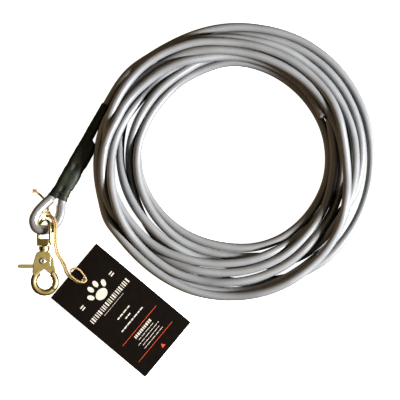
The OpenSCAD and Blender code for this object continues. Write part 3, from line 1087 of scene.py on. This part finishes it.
def frayed(end, direction, count, length, rng):
    """The yarns opened out at a cut end."""
    parts = []
    for _ in range(count):
        spread = np.array([rng.uniform(-1, 1) for _ in range(3)]) * 0.65
        bend = np.array([rng.uniform(-1, 1) for _ in range(3)]) * 0.7
        start = np.array(end) + spread * 0.5
        fibre_length = length * rng.uniform(0.6, 1.1)
        parts.append(fibre(start, direction + spread, fibre_length, rng.uniform(0.12, 0.2), bend))
    return parts


def loose_fibres(p, count, rng):
    """Short fibres that stand out from the twine all along it."""
    parts = []
    for _ in range(count):
        i = rng.randrange(2, len(p) - 2)
        along = p[i + 1] - p[i - 1]
        out = np.array([rng.uniform(-1, 1) for _ in range(3)])
        direction = along / np.linalg.norm(along) * rng.choice((-1, 1)) + 0.7 * out
        start = p[i] + 0.45 * out / np.linalg.norm(out)
        parts.append(fibre(start, direction, rng.uniform(0.8, 1.9), 0.035, 0.4 * out, 3))
    return parts


KNOT_TURNS = 2.4


def knot_wrap():
    """The turns of the overhand knot, round the strands."""
    axis = np.array([0.35, -0.75, 0.55])
    axis /= np.linalg.norm(axis)
    side = np.cross(axis, (0.0, 0.0, 1.0))
    side /= np.linalg.norm(side)
    up = np.cross(side, axis)
    a = np.linspace(0, 2 * math.pi * KNOT_TURNS, 70)
    reach = 1.05 + 0.3 * np.sin(a * 0.63)
    p = np.array(TWINE_KNOT) + np.outer(0.2 * (a - a.mean()), axis)
    p = p + (reach * np.cos(a))[:, None] * side + (reach * np.sin(a))[:, None] * up
    return plies(p)


rng = random.Random(7)
twine_line = twine_path()
twine = add_mesh("twine", *plies(twine_line))
knot = add_mesh("twine_knot_wrap", *knot_wrap())
fray = add_mesh(
    "twine_fray",
    *joined(
        frayed(twine_line[0], twine_line[0] - twine_line[4], 60, 3.8, rng)
        + frayed(twine_line[-1], twine_line[-1] - twine_line[-5], 18, 1.9, rng)
        + loose_fibres(twine_line, 150, rng)
    ),
)
for obj in (twine, knot, fray):
    set_finish(jute_twine, obj)
    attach(obj, "leash")
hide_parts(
    "twine_tail_long",
    "twine_tail_short",
    "twine_knot",
    "twine_strand_left",
    "twine_strand_right",
    "twine_ring",
)
print("twine", round(path_length(twine_line)), "mm")

# ---- floor and light ----


FLOOR_HALF = 3000.0


def add_floor():
    corners = [(x * FLOOR_HALF, y * FLOOR_HALF, 0) for x, y in ((-1, -1), (1, -1), (1, 1), (-1, 1))]
    floor = add_mesh("floor", corners, [(0, 1, 2, 3)])
    finish = Finish("floor", (246, 246, 246), (250, 250, 250), 3, roughness=0.9, specular_ior_level=0.1)
    # the pale floor keeps its brightness in the soft shadows
    finish.shader.inputs["Emission Color"].default_value = (1.0, 1.0, 1.0, 1.0)
    finish.shader.inputs["Emission Strength"].default_value = 0.7
    set_finish(finish, floor)
    # the pale floor would wash out the dark undersides of the line and the hook
    floor.visible_diffuse = False
    floor.visible_glossy = False


LIGHT_AIM = (0.09, 0.0, 0.0)


def add_light(name, place, size, power, colour):
    data = bpy.data.lights.new(name, "AREA")
    data.shape = "RECTANGLE"
    data.size, data.size_y = size
    data.energy = power
    data.color = linear(colour)[:3]
    light = bpy.data.objects.new(name, data)
    light.location = place
    light.rotation_euler = (Vector(LIGHT_AIM) - Vector(place)).to_track_quat("-Z", "Y").to_euler()
    bpy.context.scene.collection.objects.link(light)
    return light


# brightness by direction, from the far side (0) to the brightest point (1)
WORLD_DARK = (0.30, 0.25, 0.14)
WORLD_BETWEEN = (
    (0.32, (0.03, 0.02, 0.01)),
    (0.5, (0.07, 0.05, 0.028)),
    (0.72, (0.40, 0.36, 0.23)),
    (0.88, (0.80, 0.78, 0.58)),
)
WORLD_BRIGHT = (1.3, 1.36, 1.46)
WORLD_TOWARDS = (0.75, -0.1, 0.65)
WORLD_STRENGTH = 0.8


def add_world():
    """Cool and bright on the right, warm above, dark below, with a dim warm wall on the left."""
    world = bpy.data.worlds.new("studio")
    world.use_nodes = True
    tree = world.node_tree
    direction = tree.nodes.new("ShaderNodeTexCoord").outputs["Generated"]
    towards = tree.nodes.new("ShaderNodeVectorMath")
    towards.operation = "DOT_PRODUCT"
    towards.inputs[1].default_value = Vector(WORLD_TOWARDS).normalized()
    tree.links.new(direction, towards.inputs[0])
    spread = tree.nodes.new("ShaderNodeMapRange")
    spread.inputs["From Min"].default_value = -1.0
    tree.links.new(towards.outputs["Value"], spread.inputs["Value"])
    ramp = tree.nodes.new("ShaderNodeValToRGB")
    ramp.color_ramp.elements[0].color = (*WORLD_DARK, 1.0)
    ramp.color_ramp.elements[1].color = (*WORLD_BRIGHT, 1.0)
    for position, colour in WORLD_BETWEEN:
        ramp.color_ramp.elements.new(position).color = (*colour, 1.0)
    tree.links.new(spread.outputs["Result"], ramp.inputs["Fac"])
    tree.links.new(ramp.outputs["Color"], tree.nodes["Background"].inputs["Color"])
    tree.nodes["Background"].inputs["Strength"].default_value = WORLD_STRENGTH
    # it is there for the metal to reflect; the two lamps light the rest
    world.cycles_visibility.diffuse = False
    bpy.context.scene.world = world


add_floor()
add_light("key", (1.35, -0.25, 0.8), (0.3, 0.3), 52.0, (250, 250, 255))
fill = add_light("fill", (-1.1, 0.1, 0.5), (0.9, 0.5), 6.0, (255, 222, 190))
fill.visible_glossy = False
add_world()
bpy.context.scene.view_settings.view_transform = "Standard"
bpy.context.scene.view_settings.look = "High Contrast"
